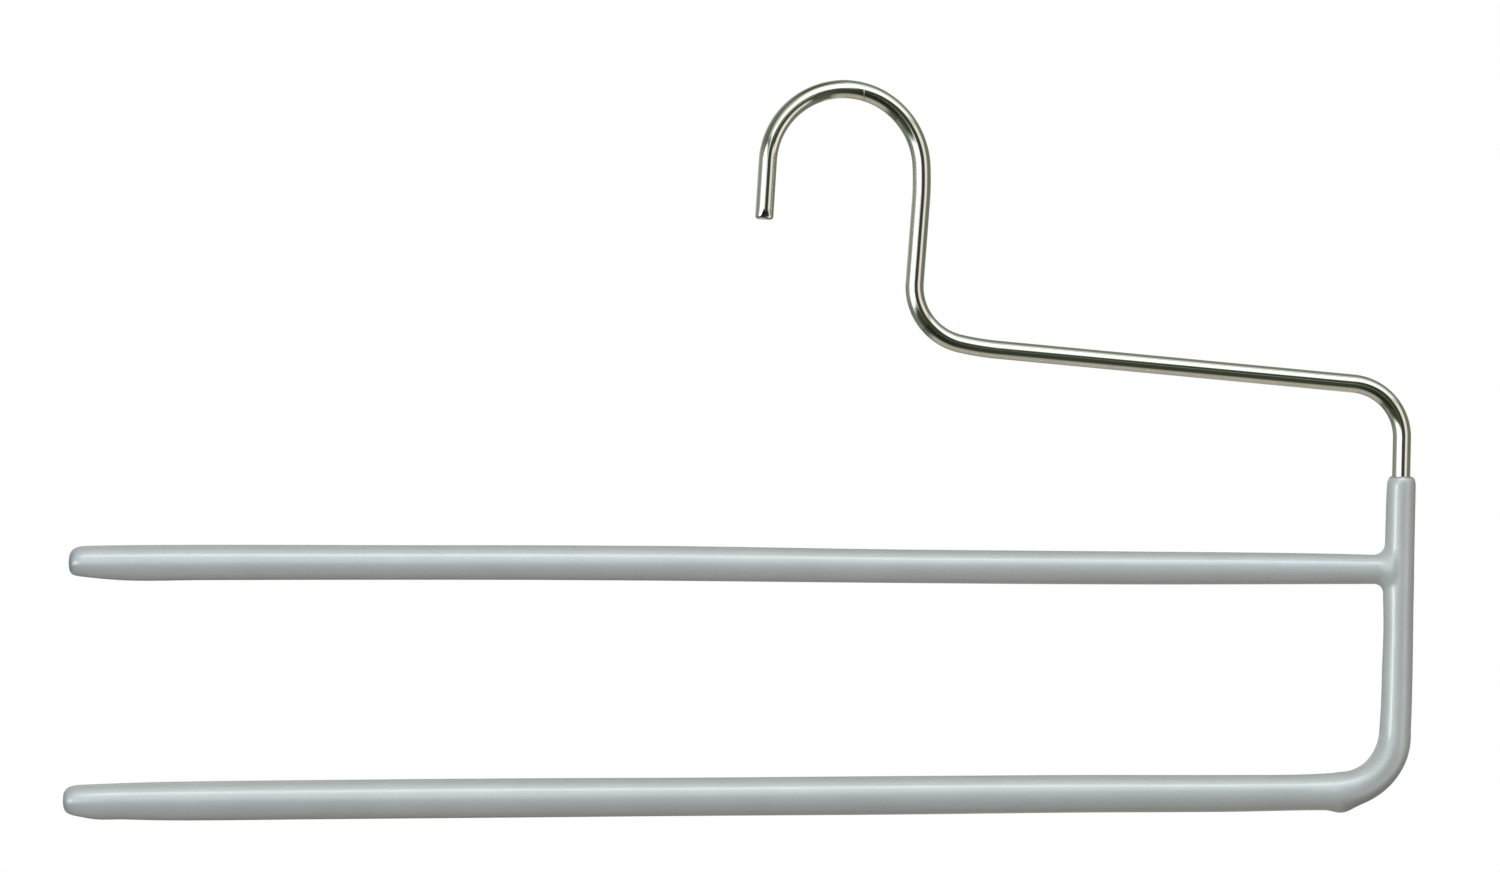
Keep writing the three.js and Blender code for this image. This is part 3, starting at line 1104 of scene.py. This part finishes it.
@dataclass
class GripSkin:
    """The dipped skin over the upright, the lower bend and both bars, with its collar, fillets and tips.

    The share tables hold the share of the stretch's length, then the thickness as shares of thickness:
    on the outer or under side, and on the inner or upper side. The main skin goes round the wire, and it
    has a hole of some columns and rows where the upper bar's skin joins it.
    """

    sizes: HangerSizes
    collar_drop: float = 9.9
    collar_rounding: float = 1.1
    collar_length: float = 2.2
    collar_rings: int = 8
    collar_roll: float = 0.28
    roll_rings: int = 5
    thickness: float = 2.5
    least_wall: float = 0.65
    tip_skin: float = 2
    bar_tip_skin: float = 2.35
    nose_corners: tuple[float, float] = (1.2, 1.6)
    nose_shoulders: tuple[float, float] = (3.2, 4.2)
    nose_corner_shares: tuple[float, float] = (0.52, 0.36)
    nose_rings: int = 9
    nose_flat_share: float = 0.2
    nose_dome: float = 0.3
    dome_rings: int = 6
    fillet_top: float = 2.9
    fillet_under: float = 2.3
    drip_height: float = 0.75
    drip_length: float = 2.2
    drip_setback: float = 1.9
    drip_rings: int = 10
    drip_ring_share: float = 0.25
    bond_gap: float = 0.02
    weld_start: float = 1.2
    weld_length: float = 3.2
    weld_proud: float = 0.6
    weld_edge: float = 0.01
    core_sides: int = 32
    core_step: float = 12
    core_bend_step: float = 5
    core_lead: float = 3
    main_sides: int = 64
    straight_step: float = 1.6
    bend_step: float = 2
    least_step: float = 0.012
    hole_columns: int = 28
    hole_rows: int = 16
    hole_reach: float = 7.8
    hole_clearance: float = 0.3
    blend_rings: int = 14
    blend_start: float = 2
    blend_end: float = 9
    blend_reach: float = 12
    blend_side: float = 0.6
    front_blend: float = 0.85
    least_fillet: float = 1e-4
    behind_slope: float = 3
    even_rounds: int = 60
    even_share: float = 0.6
    settle_tries: int = 4
    settle_limit: float = 1.5
    probe_step: float = 1e-4
    finish: PearlSkin = field(default_factory=PearlSkin)
    upright_shares: ShareTable = (
        (0, 0.58, 0.46),
        (0.07, 0.59, 0.54),
        (0.25, 0.59, 0.58),
        (0.45, 0.62, 0.68),
        (0.52, 0.62, 0.62),
        (0.6, 0.64, 0.56),
        (0.75, 0.67, 0.61),
        (0.92, 0.66, 0.66),
        (1, 0.62, 0.76),
    )
    lower_bend_shares: ShareTable = (
        (0, 0.62, 0.76),
        (0.25, 0.82, 0.78),
        (0.5, 0.87, 0.79),
        (0.75, 0.86, 0.96),
        (0.93, 0.92, 1.12),
        (1, 0.9, 1.06),
    )
    lower_bar_shares: ShareTable = (
        (0, 0.9, 1.06),
        (0.02, 0.9, 0.94),
        (0.08, 1, 0.93),
        (0.2, 0.98, 1.03),
        (0.35, 1.06, 1.04),
        (0.5, 1.06, 1.02),
        (0.65, 1.11, 1.07),
        (0.8, 1.15, 1.03),
        (0.92, 1.16, 0.94),
        (0.955, 1.03, 0.84),
        (0.974, 1.01, 0.76),
        (0.99, 0.64, 0.68),
        (1, 0.36, 0.6),
    )
    upper_bar_shares: ShareTable = (
        (0, 0.5, 0.56),
        (0.06, 0.6, 0.69),
        (0.2, 0.8, 0.73),
        (0.38, 0.86, 0.73),
        (0.53, 0.84, 0.87),
        (0.75, 0.8, 0.9),
        (0.9, 0.84, 0.94),
        (0.955, 0.88, 0.9),
        (0.978, 0.66, 0.86),
        (0.992, 0.45, 0.8),
        (1, 0.36, 0.72),
    )

    def __post_init__(self) -> None:
        """Lays both routes."""
        self.wire = self.sizes.wire()
        self.bar = self.sizes.upper_bar()
        upright_from = self.wire.froms[UPRIGHT_FROM]
        self.bend_from = self.wire.froms[LOWER_BEND_FROM]
        self.lower_from = self.wire.froms[LOWER_BAR_FROM]
        self.main_from = upright_from + self.collar_drop
        self.main_to = self.wire.length + self.tip_skin
        self.bar_to = self.bar.length + self.bar_tip_skin
        self.joint_along = upright_from + self.sizes.upper_bar_drop

    def nose(self, to_tip: np.ndarray) -> np.ndarray:
        """Shapes a bar's blunt nose.

        Args:
            to_tip: distances from the tip.

        Returns:
            The shares of the bar's reach that are left there, under and above.
        """
        found = []
        for corner, shoulder, share in zip(self.nose_corners, self.nose_shoulders, self.nose_corner_shares):
            out = share * rounding_share(to_tip, corner) + (1 - share) * rounding_share(to_tip, shoulder)
            blunt = self.nose_flat_share + (1 - self.nose_flat_share) * out
            found.append(blunt * rounding_share(to_tip, self.nose_dome))
        return np.stack(found, axis=1)

    def main_reach(self, along: np.ndarray) -> Reach:
        """The main skin's reach to the left and right, with its collar and nose.

        Args:
            along: distances along the wire.

        Returns:
            The reach to the left and to the right.
        """
        along = np.asarray(along, float)
        thick = np.zeros((len(along), 2))
        stretches = (
            (self.main_from, self.bend_from, self.upright_shares),
            (self.bend_from, self.lower_from, self.lower_bend_shares),
            (self.lower_from, self.main_to, self.lower_bar_shares),
        )
        for start, end, shares in stretches:
            here = (along >= start) | (start == self.main_from)
            thick[here] = read_shares(shares, (along[here] - start) / (end - start)) * self.thickness
        from_lip = along - self.main_from
        cut = self.collar_rounding * (1 - rounding_share(from_lip, self.collar_length))
        rolled = rounding_share(from_lip, self.collar_roll)
        wall = np.maximum(thick - cut[:, None], self.least_wall) * rolled[:, None]
        reach = self.sizes.wire_radius + np.maximum(wall, self.bond_gap * 2)
        reach *= self.nose(self.main_to - along)
        return reach[:, 0], reach[:, 1]

    def bar_reach(self, along: np.ndarray) -> Reach:
        """The upper bar's reach, with its nose and without its fillets.

        Args:
            along: distances along the bar.

        Returns:
            The reach to the left, which is down, and to the right.
        """
        along = np.asarray(along, float)
        thick = read_shares(self.upper_bar_shares, along / self.bar_to) * self.thickness
        reach = self.sizes.rod_radius + np.maximum(thick, self.least_wall)
        reach *= self.nose(self.bar_to - along)
        return reach[:, 0], reach[:, 1]

    def drip(self, along: np.ndarray) -> np.ndarray:
        """How far the drip under the lower bend hangs."""
        middle = self.lower_from - self.drip_setback
        return self.drip_height * np.exp(-(((along - middle) / self.drip_length) ** 2))

    @staticmethod
    def depth(
        points: np.ndarray, route: Route, origin: float, reach: Callable[[np.ndarray], Reach]
    ) -> tuple[np.ndarray, np.ndarray, np.ndarray]:
        """Measures points against a tube on a straight stretch.

        Args:
            points: the points, in millimetres.
            route: the tube's route.
            origin: a distance along the route, on the straight stretch.
            reach: the tube's reach at distances along the route.

        Returns:
            The distance outside the tube, the outward directions, and the distances along the route.
        """
        base = route.at([origin])
        centre, ahead, left = base.centre[0], base.forward[0], base.left[0]
        flat = points[:, [0, 2]] - centre
        along = flat @ ahead
        aside = flat @ left
        wide = points[:, 1]
        reach_left, reach_right = reach(origin + along)
        both = (reach_left + reach_right) / 2
        one_side = np.where(aside > 0, reach_left, reach_right)
        stretch = np.sqrt((aside / one_side) ** 2 + (wide / both) ** 2)
        radial = np.hypot(aside, wide)
        out = np.stack([aside * left[0], wide, aside * left[1]], axis=1)
        out /= np.maximum(radial, NEARLY_NONE)[:, None]
        return radial * (1 - 1 / np.maximum(stretch, NEARLY_NONE)), out, origin + along

    def joined(self, points: np.ndarray) -> np.ndarray:
        """The distance of points from the skin round the joint, where both tubes flow into each other.

        Args:
            points: the points, in millimetres.

        Returns:
            The distances, positive outside.
        """
        main, main_out, _ = self.depth(points, self.wire, self.joint_along, self.main_reach)
        branch, branch_out, along = self.depth(points, self.bar, 0, self.bar_reach)
        alike = np.sum(main_out * branch_out, axis=1)
        above = np.clip(0.5 + 0.5 * branch_out[:, 2], 0, 1)
        fillet = self.fillet_under + (self.fillet_top - self.fillet_under) * above
        opened = (1 - np.sqrt((1 + np.clip(alike, -1, 1)) / 2)) / (1 - math.sqrt(0.5))
        opened = self.front_blend + (1 - self.front_blend) * opened
        started = np.clip(along / self.blend_start, 0, 1)
        radius = fillet * opened * started**2 * (3 - 2 * started) + self.least_fillet
        branch = branch + np.maximum(-along, 0) * self.behind_slope
        inner = np.hypot(np.maximum(radius - main, 0), np.maximum(radius - branch, 0))
        return np.maximum(radius, np.minimum(main, branch)) - inner

    def settle(self, points: np.ndarray) -> np.ndarray:
        """Moves points square onto the skin round the joint.

        Args:
            points: the points, in millimetres.

        Returns:
            The points on the skin.
        """
        step = self.probe_step
        for _ in range(self.settle_tries):
            here = self.joined(points)
            moved = np.stack([self.joined(points + step * axis) for axis in np.eye(3)], axis=1)
            slopes = (moved - here[:, None]) / step
            size = np.maximum(np.sum(slopes**2, axis=1), NEARLY_NONE)
            move = np.clip(here, -self.settle_limit, self.settle_limit) / size
            points = points - move[:, None] * slopes
        return points

    def main_stops(self) -> tuple[list[float], int]:
        """Spaces the main skin's rings.

        Returns:
            Their distances along the wire, and the number of the ring where the hole starts.
        """
        start, end = self.joint_along - self.hole_reach, self.joint_along + self.hole_reach
        before = self.wire.stops(self.main_from, start, self.straight_step, self.bend_step)
        before += [self.main_from + one for one in rounding_stops(self.collar_length, self.collar_rings)]
        before += [self.main_from + one for one in rounding_stops(self.collar_roll, self.roll_rings)]
        hole = [start + (end - start) * one / self.hole_rows for one in range(self.hole_rows + 1)]
        after = self.wire.stops(end, self.main_to, self.straight_step, self.bend_step)
        middle, step = self.lower_from - self.drip_setback, self.drip_length * self.drip_ring_share
        after += [middle + step * one for one in range(-self.drip_rings, self.drip_rings + 1)]
        after += self.nose_stops(self.main_to)
        before = [one for one in before if one < start - self.hole_clearance]
        after = [one for one in after if end + self.hole_clearance < one < self.main_to]
        before, after = thin_out(before, self.least_step), thin_out(after, self.least_step)
        return [*before, *hole, *after], len(before)

    def nose_stops(self, tip: float) -> list[float]:
        """Spaces the rings of a blunt nose.

        Args:
            tip: the tip's distance along the route.

        Returns:
            The rings' distances, without the tip's own.
        """
        found = rounding_stops(self.nose_dome, self.dome_rings)
        for rounding in (*self.nose_corners, *self.nose_shoulders):
            found += rounding_stops(rounding, self.nose_rings)
        return [tip - one for one in found if one > 0]

    def outer(self) -> bpy.types.Object:
        """Builds the closed outer face of the skin, both tubes and the joint in one mesh.

        Returns:
            The piece, which is solid so far.
        """
        stops, hole_start = self.main_stops()
        along = np.array(stops)
        sides = self.main_sides
        rings = ring_points(self.wire.at(along), sides, self.main_reach(along), self.drip(along))
        first_column = (sides - self.hole_columns) // 2
        hole = Hole(hole_start, hole_start + self.hole_rows, first_column, first_column + self.hole_columns)
        loop = hole.loop()
        bar_stops = self.bar.stops(self.blend_end, self.bar_to, self.straight_step, self.bend_step)
        bar_stops = [one for one in (*bar_stops, *self.nose_stops(self.bar_to)) if one < self.bar_to]
        bar_along = np.array(thin_out(bar_stops, self.least_step))
        bar_rings = ring_points(self.bar.at(bar_along), len(loop), self.bar_reach(bar_along), first=math.pi)
        near = np.abs(along - self.joint_along) < self.blend_reach
        flat = rings[near].reshape(-1, 3)
        inward = flat[:, 0] < self.wire.at([self.joint_along]).centre[0, 0] + self.blend_side
        flat[inward] = self.settle(flat[inward])
        rings[near] = flat.reshape(-1, sides, 3)
        edge = np.array([rings[row, column] for row, column in loop])
        branch = np.concatenate([self.patch(edge, bar_rings[0]), bar_rings])
        return self.stitch(rings, branch, hole)

    def patch(self, edge: np.ndarray, ring: np.ndarray) -> np.ndarray:
        """Lays rings from the hole's edge to the bar's first ring, evened out on the skin.

        Args:
            edge: the points round the hole.
            ring: the points of the bar's first ring.

        Returns:
            The rings between the two.
        """
        shares = (np.arange(1, self.blend_rings + 1) / (self.blend_rings + 1))[:, None, None]
        rows = edge[None] * (1 - shares) + ring[None] * shares
        rows = self.settle(rows.reshape(-1, 3)).reshape(rows.shape)
        for _ in range(self.even_rounds):
            whole = np.concatenate([edge[None], rows, ring[None]])
            mean = (whole[:-2] + whole[2:] + np.roll(rows, 1, axis=1) + np.roll(rows, -1, axis=1)) / 4
            rows = rows + self.even_share * (mean - rows)
            rows = self.settle(rows.reshape(-1, 3)).reshape(rows.shape)
        return rows

    def stitch(self, rings: np.ndarray, branch: np.ndarray, hole: Hole) -> bpy.types.Object:
        """Joins the rings into one closed mesh.

        Args:
            rings: the main skin's rings.
            branch: the rings round the joint, then the upper bar's.
            hole: the hole in the main skin.

        Returns:
            The piece.
        """
        main_numbers = ring_numbers(rings, 0)
        branch_numbers = [[main_numbers[row][column] for row, column in hole.loop()]]
        branch_numbers += ring_numbers(branch, rings[..., 0].size)
        walls = tube_walls(main_numbers)
        for wall in walls[hole.top:hole.bottom]:
            del wall[hole.low:hole.high]
        faces = [*chain(*walls, *tube_walls(branch_numbers)), tuple(main_numbers[0])]
        pole = branch_numbers[-1][-1]
        for last in (main_numbers[-1], branch_numbers[-1]):
            pole += 1
            faces += [(one, pole, two) for one, two in zip(last, [*last[1:], last[0]])]
        tips = [self.wire.at([self.main_to]).centre[0], self.bar.at([self.bar_to]).centre[0]]
        ends = np.array([[one[0], 0, one[1]] for one in tips])
        points = np.concatenate([rings.reshape(-1, 3), branch.reshape(-1, 3), ends])
        piece = new_piece("silver_grip_skin", points, faces)
        with edited(piece.data) as work:
            loose = [one for one in work.verts if not one.link_faces]
            bmesh.ops.delete(work, geom=loose, context="VERTS")
        face_outward(piece)
        return piece

    def core(
        self, name: str, route: Route, start: float, radius: RadiusAt, more: Sequence[float]
    ) -> bpy.types.Object:
        """Builds the steel's outline, grown by the bond gap, to hollow the skin with.

        Args:
            name: the cutter's name.
            route: the steel's route.
            start: where the cutter begins.
            radius: the cutter's radius at distances along the route.
            more: distances that get a ring besides the route's own.

        Returns:
            The cutter.
        """
        end = route.length + self.bond_gap
        stops = {*route.stops(start, end, self.core_step, self.core_bend_step), *more}
        along = np.array(sorted(stops))
        rings = ring_points(route.at(along), self.core_sides, (radius(along), radius(along)))
        numbers = ring_numbers(rings, 0)
        faces = [tuple(numbers[0]), tuple(numbers[-1]), *chain(*tube_walls(numbers))]
        cutter = new_piece(name, rings.reshape(-1, 3), faces)
        face_outward(cutter)
        return cutter

    def hollow(self, piece: bpy.types.Object) -> None:
        """Takes the steel's place out of the skin.

        Args:
            piece: the closed skin, which gets the hollow.
        """
        grown = self.bond_gap / math.cos(math.pi / self.core_sides)
        weld_from = self.weld_start - self.bond_gap
        weld_to = self.weld_start + self.weld_length + self.bond_gap
        proud = self.weld_proud + self.bond_gap

        def wire_radius(along: np.ndarray) -> np.ndarray:
            """The wire's radius, grown."""
            return np.full(len(along), self.sizes.wire_radius + grown)

        def rod_radius(along: np.ndarray) -> np.ndarray:
            """The rod's radius, grown, and more where the weld is."""
            welded = (along >= weld_from) & (along <= weld_to)
            return self.sizes.rod_radius + np.where(welded, proud, grown)

        weld_stops = [weld_from - self.weld_edge, weld_from, weld_to, weld_to + self.weld_edge]
        cutters = [
            self.core("wire_room", self.wire, self.main_from - self.core_lead, wire_radius, []),
            self.core("rod_room", self.bar, 0, rod_radius, weld_stops),
        ]
        for cutter in cutters:
            cut = piece.modifiers.new(cutter.name, "BOOLEAN")
            cut.operation = "DIFFERENCE"
            cut.solver = "EXACT"
            cut.object = cutter
        bake_modifiers(piece)
        for cutter in cutters:
            mesh = cutter.data
            bpy.data.objects.remove(cutter)
            bpy.data.meshes.remove(mesh)

    def build(self) -> bpy.types.Object:
        """Builds and dresses the skin.

        Returns:
            The piece.
        """
        piece = self.outer()
        self.hollow(piece)
        piece.data.shade_smooth()
        dress(piece, self.finish.material())
        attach(piece, BODY)
        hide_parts("grip_coating")
        report(piece, "one dipped skin")
        return piece


@dataclass(frozen=True)
class Panel:
    """A soft-edged patch on the tent, in degrees.

    A turn goes round the camera's axis: 0 is right of the camera, 90 over it, 180 left and -90 under it.
    The near and far limits are angles away from the camera, given at the first and the last turn. The slant
    shifts the turns for each degree that a place is further away than slant_from.
    """

    turns: tuple[float, float]
    near: tuple[float, float]
    far: tuple[float, float]
    colour: Colour
    turn_edge: float = 8
    near_edge: float = 10
    far_edge: float = 14
    slant: float = 0
    slant_from: float = 30


@dataclass(frozen=True)
class Lamp:
    """A soft lamp, aimed at the hanger's middle, that only lights."""

    name: str
    place: Point
    size: float
    power: float
    colour: Colour


@dataclass
class Studio:
    """The camera, the white surround, the tent that the metal mirrors, the lamps and the floor."""

    camera_place: Point = (-0.0242, -2.5, -0.0874)
    lens: float = 231.9
    sensor: float = 36
    ambient: Colour = (0.5, 0.5, 0.5)
    tent_radius: float = 9
    tent_divisions: int = 5
    seam_turn: float = -140
    dark_colour: Colour = (0.044, 0.053, 0.033)
    floor_colour: Colour = (0.94, 0.94, 0.94)
    floor_place: Point = (-0.03, 0, -0.3)
    floor_radius: float = 1.2
    floor_sides: int = 128
    fade_place_share: float = 0.68
    fade_width_share: float = 0.6
    panels: tuple[Panel, ...] = (
        Panel((-180, 260), (66, 66), (190, 190), (0.17, 0.18, 0.13), near_edge=44),
        Panel((-180, -100), (0, 0), (50, 50), (0.022, 0.024, 0.016), 30, 1, 30),
        Panel((-180, -132), (52, 52), (118, 118), (0.08, 0.08, 0.055), near_edge=24),
        Panel((166, 194), (66, 66), (120, 120), (0.28, 0.295, 0.22), 16, 24, 24),
        Panel((98, 122), (78, 78), (126, 126), (0.09, 0.085, 0.052), 16, 20),
        Panel((40, 84), (92, 92), (136, 136), (0.16, 0.25, 0.155), 16, 24),
        Panel((-80, -64), (24, 24), (118, 118), (0.09, 0.09, 0.058), 12, 24),
        Panel((-129, -81), (59, 62), (190, 190), (0.43, 0.39, 0.31), 8, 26),
        Panel((-180, 260), (130, 130), (190, 190), (0.23, 0.24, 0.2), near_edge=18),
        Panel((96, 176), (127, 127), (156, 156), (0.5, 0.5, 0.45), near_edge=18),
        Panel((-90, -70), (124, 124), (156, 156), (0.5, 0.5, 0.45), near_edge=18),
        Panel((-60, -12), (0, 0), (15, 15), (0.26, 0.32, 0.23), 10, 1, 12),
        Panel((-12, 48), (39, 45), (66, 86), (0.95, 0.87, 0.78), near_edge=14, far_edge=24),
        Panel((-60, -9), (40, 54), (67, 94), (0.84, 0.77, 0.665), 10, 14, 26),
        Panel((-38, -8), (62, 62), (82, 82), (0.98, 0.92, 0.81), 8, 12, 14),
        Panel((162, 200), (0, 0), (74, 73), (0.3, 0.42, 0.29), 12, 6, 20, 0.16),
        Panel((84, 156), (13, -14), (84, 50), (0.3, 0.42, 0.29), 8, 8, 22, 0.16),
        Panel((34, 90), (52, 16), (102, 94), (0.3, 0.42, 0.29), 9, 12, 22),
        Panel((84, 154), (17, -12), (80, 46), (0.62, 0.62, 0.52), 7, 6, 22, 0.16),
        Panel((36, 90), (56, 20), (96, 90), (0.8, 0.78, 0.71), 9, 12, 26),
        Panel((166, 196), (4, 4), (70, 69), (1.2, 1.2, 1.2), 12, 8, 20, 0.16),
        Panel((84, 153), (17, -12), (58, 30), (1.2, 1.2, 1.18), 7, 7, 14, 0.16),
        Panel((38, 90), (56, 20), (72, 66), (1.3, 1.3, 1.26), 9, 12, 16),
        Panel((165, 194), (32, 32), (50, 50), (4.8, 4.8, 4.8), 12, 7, 7),
        Panel((56, 116), (56, 40), (68, 50), (3.6, 3.6, 3.6), 16, 7, 7),
    )
    lamps: tuple[Lamp, ...] = (
        Lamp("top_lamp", (-0.3, -1.3, 1.2), 1.2, 8, (1, 1, 1)),
        Lamp("left_lamp", (-1.6, -1.4, 0.1), 1.0, 14, (1, 1, 1)),
        Lamp("right_lamp", (1.5, -1.0, -0.1), 0.9, 2.5, (1, 0.95, 0.88)),
        Lamp("back_lamp", (0.3, 2.0, 0.7), 1.6, 26, (1, 1, 1)),
    )

    def camera(self) -> None:
        """Stands the camera level in front of the hanger, as in the photograph."""
        camera = bpy.data.cameras.new("front_camera")
        camera.sensor_width = self.sensor
        camera.lens = self.lens
        stand = place_object("front_camera", camera)
        stand.location = self.camera_place
        stand.rotation_euler = (math.pi / 2, 0, 0)
        bpy.context.scene.camera = stand

    def world(self) -> None:
        """Shows white to the camera, gloss and glass, and gives plain even light."""
        world = bpy.data.worlds.new("white_surround")
        world.use_nodes = True
        nodes = Nodes(world.node_tree)
        camera = nodes.add("ShaderNodeLightPath", {}, {}, "Is Camera Ray")
        seen = camera + camera.output("Is Glossy Ray") + camera.output("Is Transmission Ray")
        colour = nodes.mix(seen.maths("MINIMUM", seen, 1.0), self.ambient, (1, 1, 1))
        surround = nodes.add("ShaderNodeBackground", {}, {"Color": colour, "Strength": 1.0})
        nodes.add("ShaderNodeOutputWorld", {}, {"Surface": surround})
        bpy.context.scene.world = world

    def tent(self) -> None:
        """Hangs the tent, whose panels only gloss sees."""
        mesh = bpy.data.meshes.new("light_tent")
        with edited(mesh) as work:
            bmesh.ops.create_icosphere(work, subdivisions=self.tent_divisions, radius=self.tent_radius)
        tent = place_object("light_tent", mesh)
        tent.location = (0, 0, self.camera_place[2])
        dress(tent, self.tent_light())
        self.show_to(tent, SeenBy.GLOSS)

    def tent_light(self) -> bpy.types.Material:
        """Paints the tent: a dark room with soft-edged panels, a later one over the earlier ones.

        Returns:
            The tent's material.
        """
        painted = Painted("tent_light")
        nodes = painted.nodes
        unit = nodes.add("ShaderNodeVectorMath", {"operation": "NORMALIZE"}, {0: painted.place()})
        x, y, z = nodes.split(unit)
        to_degrees = math.degrees(1)
        opposite = math.radians(self.seam_turn + 180)
        level = x * math.cos(opposite) + z * math.sin(opposite)
        upright = z * math.cos(opposite) - x * math.sin(opposite)
        turn = x.maths("ARCTAN2", upright, level) * to_degrees + (self.seam_turn + 180)
        apart = y.maths("ARCCOSINE", 0 - y) * to_degrees
        colour = self.dark_colour
        for panel in self.panels:
            colour = nodes.mix(self.inside(panel, turn, apart), colour, panel.colour)
        light = nodes.add("ShaderNodeEmission", {}, {"Color": colour, "Strength": 1.0})
        nodes.add("ShaderNodeOutputMaterial", {}, {"Surface": light})
        return painted.material

    @staticmethod
    def inside(panel: Panel, turn: Shade, apart: Shade) -> Shade:
        """1 on a panel and 0 off it, with soft edges.

        Args:
            panel: the panel.
            turn: the angle round the camera's axis.
            apart: the angle away from the camera.

        Returns:
            The panel's share.
        """
        first, last = panel.turns
        if panel.slant:
            turn = turn - (apart - panel.slant_from) * panel.slant
        along = (turn - first) / (last - first)
        across = turn.rise(first, panel.turn_edge) * (1 - turn.rise(last, panel.turn_edge))
        begun = (apart - along.spread(*panel.near)).rise(0, panel.near_edge)
        ended = (apart - along.spread(*panel.far)).rise(0, panel.far_edge)
        return across * begun * (1 - ended)

    @staticmethod
    def show_to(stand: bpy.types.Object, seen_by: SeenBy) -> None:
        """Shows a piece of the studio only to some rays.

        Args:
            stand: the piece.
            seen_by: the rays.
        """
        for choice in SeenBy:
            for name in choice.value:
                setattr(stand, name, name in seen_by.value)

    def light(self, lamp: Lamp) -> None:
        """Hangs one lamp.

        Args:
            lamp: its place, size, power and colour.
        """
        data = bpy.data.lights.new(lamp.name, "AREA")
        data.shape = "DISK"
        data.size = lamp.size
        data.energy = lamp.power
        data.color = lamp.colour
        stand = place_object(lamp.name, data)
        stand.location = lamp.place
        aim = Vector((0, 0, self.camera_place[2])) - stand.location
        stand.rotation_euler = aim.to_track_quat("-Z", "Y").to_euler()
        stand.visible_camera = False
        stand.visible_glossy = False

    def floor(self) -> None:
        """Lays a pale round floor, whose edge fades into the white surround."""
        mesh = bpy.data.meshes.new("pale_floor")
        with edited(mesh) as work:
            bmesh.ops.create_circle(work, cap_ends=True, segments=self.floor_sides, radius=self.floor_radius)
        mesh.transform(Matrix.Translation(self.floor_place))
        floor = place_object("pale_floor", mesh)
        painted = Painted("pale_floor")
        nodes = painted.nodes
        distance = nodes.add("ShaderNodeVectorMath", {"operation": "LENGTH"}, {0: painted.place()}, "Value")
        edge, width = (share * self.floor_radius for share in (self.fade_place_share, self.fade_width_share))
        solid = 1 - distance.rise(edge, width)
        from_below = nodes.add("ShaderNodeNewGeometry", {}, {}, "Backfacing")
        face = nodes.add("ShaderNodeBsdfDiffuse", {}, {"Color": (*self.floor_colour, 1)})
        clear = nodes.add("ShaderNodeBsdfTransparent", {}, {})
        faded = nodes.add("ShaderNodeMixShader", {}, {0: solid * (1 - from_below), 1: clear, 2: face})
        nodes.add("ShaderNodeOutputMaterial", {}, {"Surface": faded})
        dress(floor, painted.material)
        self.show_to(floor, SeenBy.CAMERA)
        floor.visible_diffuse = False

    def build(self) -> None:
        """Sets up the whole studio."""
        bpy.context.scene.view_settings.view_transform = "Standard"
        self.camera()
        self.world()
        self.tent()
        for lamp in self.lamps:
            self.light(lamp)
        self.floor()
        log.info("studio: camera, white surround, tent, %d lamps and floor", len(self.lamps))


def main() -> None:
    """Builds the studio and the hanger's pieces in order."""
    logging.basicConfig(level=logging.INFO, format="%(name)s: %(message)s")
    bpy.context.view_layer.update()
    Studio().build()
    sizes = HangerSizes()
    HookWire(sizes).build()
    WeldedRod().build()
    GripSkin(sizes).build()
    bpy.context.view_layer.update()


if __name__ == "__main__":
    main()
